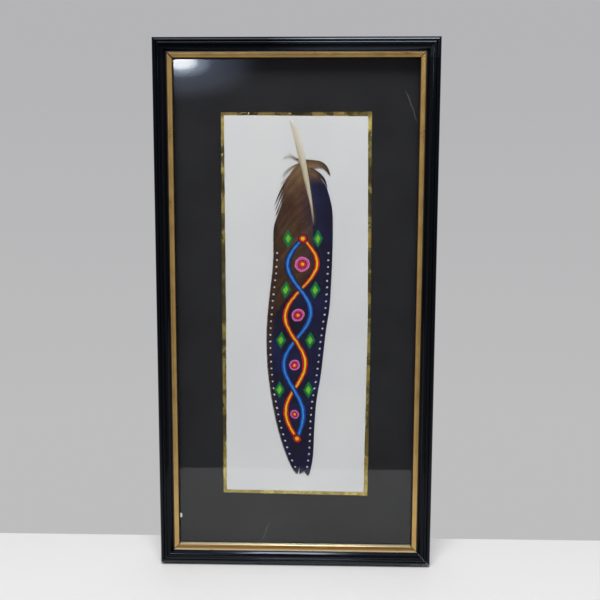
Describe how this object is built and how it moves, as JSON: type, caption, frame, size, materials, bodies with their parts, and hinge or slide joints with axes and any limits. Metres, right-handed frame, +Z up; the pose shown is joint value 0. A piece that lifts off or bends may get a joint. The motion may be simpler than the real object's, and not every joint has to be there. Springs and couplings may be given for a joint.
{
  "type": "framed turkey wing feather",
  "caption": "Painted turkey wing feather on a white card with a gold border, glazed in a slim black and gilt wall frame that hangs by a sawtooth hanger.",
  "frame": {"origin": "the hanging point: middle of the sawtooth hanger, on the plane of the rails' backs", "axes": "+Z up the frame, front faces -Y, +X to the viewer's right"},
  "size_m": [0.282, 0.0255, 0.536],
  "materials": {
    "lacquered_wood": "glossy black lacquer with a gilded lip",
    "clear_glass": "clear picture glass",
    "black_board": "matt black mount board",
    "gold_foil_card": "mirror gold foil on card",
    "white_card": "smooth white card",
    "painted_feather": "brown barbs painted in dark blue with a bright design, cream shaft",
    "hardboard": "smooth brown hardboard",
    "steel": "bright zinc-plated steel",
    "brass_plate": "brassed sheet steel"
  },
  "bodies": {
    "root": {"rail_top": "lacquered_wood", "spacer_top": "black_board", "rail_bottom": "lacquered_wood", "spacer_bottom": "black_board", "rail_left": "lacquered_wood", "spacer_left": "black_board", "rail_right": "lacquered_wood", "spacer_right": "black_board", "glass": "clear_glass", "black_mat": "black_board", "gold_card": "gold_foil_card", "white_card": "white_card", "feather": "painted_feather", "backing_board": "hardboard", "point_1": "steel", "point_2": "steel", "point_3": "steel", "point_4": "steel", "point_5": "steel", "point_6": "steel", "hanger": "brass_plate", "hanger_nail_left": "steel", "hanger_nail_right": "steel"}
  },
  "joints": []
}
